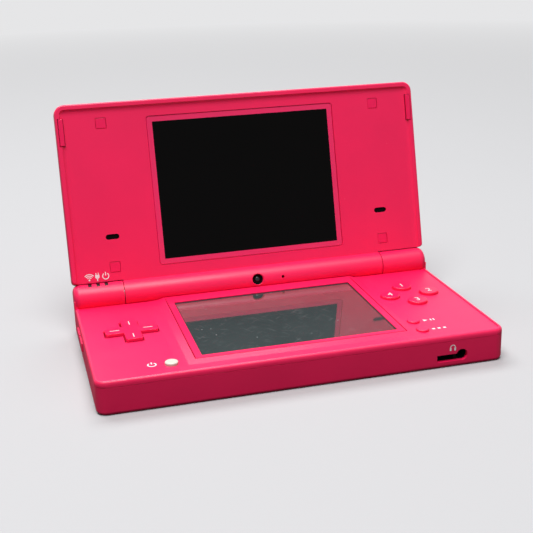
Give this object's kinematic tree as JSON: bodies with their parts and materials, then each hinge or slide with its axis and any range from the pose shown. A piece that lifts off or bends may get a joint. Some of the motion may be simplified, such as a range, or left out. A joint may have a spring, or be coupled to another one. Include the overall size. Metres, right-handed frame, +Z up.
{
  "type": "clamshell handheld game console",
  "caption": "Clamshell handheld game console with a display in each half, direction pad, round buttons and a barrel hinge; lid turns, keys press, stylus slides out of its silo.",
  "frame": {"origin": "centre of the base's footprint on its underside, on the battery cover's flat face", "axes": "+X to the right for someone using it, +Y from the front edge to the hinge, +Z up from the table"},
  "size_m": [0.1375, 0.0915, 0.0819],
  "materials": {
    "pink_plastic": "glossy raspberry pink",
    "cream_plastic": "glossy cream",
    "black_plastic": "matte black",
    "grey_glass": "glossy grey display panel",
    "dark_glass": "glossy dark display cover",
    "steel": "bright sheet and turned steel",
    "circuit_board": "green board",
    "grey_rubber": "matte",
    "clear_plastic": "clear, slightly milky",
    "copper_ribbon": "amber film"
  },
  "bodies": {
    "base": {"lower_housing": "pink_plastic", "upper_housing": "pink_plastic", "battery_cover": "pink_plastic", "battery_cover_screws": "steel", "case_screws": "steel", "battery": "black_plastic", "battery_connector": "black_plastic", "main_board": "circuit_board", "processor_shield": "steel", "wireless_module": "circuit_board", "game_card_socket": "steel", "sd_card_socket": "steel", "headphone_jack": "black_plastic", "power_inlet": "black_plastic", "touch_panel": "grey_glass", "lower_display": "grey_glass", "display_cushion": "grey_rubber", "dpad_keypad": "grey_rubber", "face_keypad": "grey_rubber", "small_keypads": "grey_rubber", "volume_switch_board": "circuit_board", "shoulder_switch_boards": "circuit_board", "shoulder_pins": "steel", "shoulder_springs": "steel", "status_light_guides": "clear_plastic", "hinge_clutch": "steel", "hinge_tube": "steel", "lid_cable": "copper_ribbon"},
    "lid": {"lid_outer_cover": "pink_plastic", "lid_inner_cover": "pink_plastic", "upper_screen_lens": "dark_glass", "upper_display": "dark_glass", "display_ribbon": "copper_ribbon", "speakers": "black_plastic", "lid_screws": "steel", "lid_screw_plugs": "pink_plastic", "lid_bumpers": "pink_plastic", "inner_camera": "black_plastic", "inner_camera_lens": "dark_glass", "microphone": "steel", "outer_camera": "black_plastic", "outer_camera_lens": "dark_glass", "camera_light": "clear_plastic"},
    "dpad_pivot": {"dpad_pivot": "grey_rubber"},
    "dpad": {"dpad": "pink_plastic"},
    "face_button_rear": {"face_button_rear": "pink_plastic"},
    "face_button_left": {"face_button_left": "pink_plastic"},
    "face_button_right": {"face_button_right": "pink_plastic"},
    "face_button_front": {"face_button_front": "pink_plastic"},
    "start_button": {"start_button": "pink_plastic"},
    "select_button": {"select_button": "pink_plastic"},
    "power_button": {"power_button": "cream_plastic"},
    "volume_up_key": {"volume_up_key": "pink_plastic"},
    "volume_down_key": {"volume_down_key": "pink_plastic"},
    "shoulder_button_left": {"shoulder_button_left": "pink_plastic"},
    "shoulder_button_right": {"shoulder_button_right": "pink_plastic"},
    "sd_slot_cover": {"sd_slot_cover": "pink_plastic"},
    "stylus": {"stylus": "pink_plastic"}
  },
  "joints": [
    {"name": "lid_hinge", "type": "hinge", "parent": "base", "child": "lid", "pos_m": [0, 0.0325, 0.01375], "axis": [-1, 0, 0], "range_deg": [-104, 51]},
    {"name": "dpad_tilt_front_rear", "type": "hinge", "parent": "base", "child": "dpad_pivot", "pos_m": [-0.0519, 0.00095, 0.00813], "axis": [1, 0, 0], "range_deg": [-2, 2], "stiffness_Nm_per_rad": 0.25},
    {"name": "dpad_tilt_left_right", "type": "hinge", "parent": "dpad_pivot", "child": "dpad", "pos_m": [-0.0519, 0.00095, 0.00853], "axis": [0, 1, 0], "range_deg": [-2, 2], "stiffness_Nm_per_rad": 0.25},
    {"name": "face_button_rear_press", "type": "slide", "parent": "base", "child": "face_button_rear", "axis": [0, 0, -1], "range_m": [0, 0.0005], "stiffness_N_per_m": 1500},
    {"name": "face_button_left_press", "type": "slide", "parent": "base", "child": "face_button_left", "axis": [0, 0, -1], "range_m": [0, 0.0005], "stiffness_N_per_m": 1500},
    {"name": "face_button_right_press", "type": "slide", "parent": "base", "child": "face_button_right", "axis": [0, 0, -1], "range_m": [0, 0.0005], "stiffness_N_per_m": 1500},
    {"name": "face_button_front_press", "type": "slide", "parent": "base", "child": "face_button_front", "axis": [0, 0, -1], "range_m": [0, 0.0005], "stiffness_N_per_m": 1500},
    {"name": "start_button_press", "type": "slide", "parent": "base", "child": "start_button", "axis": [0, 0, -1], "range_m": [0, 0.0003], "stiffness_N_per_m": 2500},
    {"name": "select_button_press", "type": "slide", "parent": "base", "child": "select_button", "axis": [0, 0, -1], "range_m": [0, 0.0003], "stiffness_N_per_m": 2500},
    {"name": "power_button_press", "type": "slide", "parent": "base", "child": "power_button", "axis": [0, 0, -1], "range_m": [0, 0.0003], "stiffness_N_per_m": 2500},
    {"name": "volume_up_key_press", "type": "slide", "parent": "base", "child": "volume_up_key", "axis": [1, 0, 0], "range_m": [0, 0.0004], "stiffness_N_per_m": 2500},
    {"name": "volume_down_key_press", "type": "slide", "parent": "base", "child": "volume_down_key", "axis": [1, 0, 0], "range_m": [0, 0.0004], "stiffness_N_per_m": 2500},
    {"name": "shoulder_left_press", "type": "hinge", "parent": "base", "child": "shoulder_button_left", "pos_m": [-0.0532, 0.0356, 0.006], "axis": [0, 0, 1], "range_deg": [0, 3], "stiffness_Nm_per_rad": 0.25},
    {"name": "shoulder_right_press", "type": "hinge", "parent": "base", "child": "shoulder_button_right", "pos_m": [0.0532, 0.0356, 0.006], "axis": [0, 0, -1], "range_deg": [0, 3], "stiffness_Nm_per_rad": 0.25},
    {"name": "sd_cover_hinge", "type": "hinge", "parent": "base", "child": "sd_slot_cover", "pos_m": [0.06775, -0.00025, 0.00335], "axis": [0, 1, 0], "range_deg": [0, 95]},
    {"name": "stylus_slide", "type": "slide", "parent": "base", "child": "stylus", "axis": [1, 0, 0], "range_m": [0, 0.075]}
  ]
}
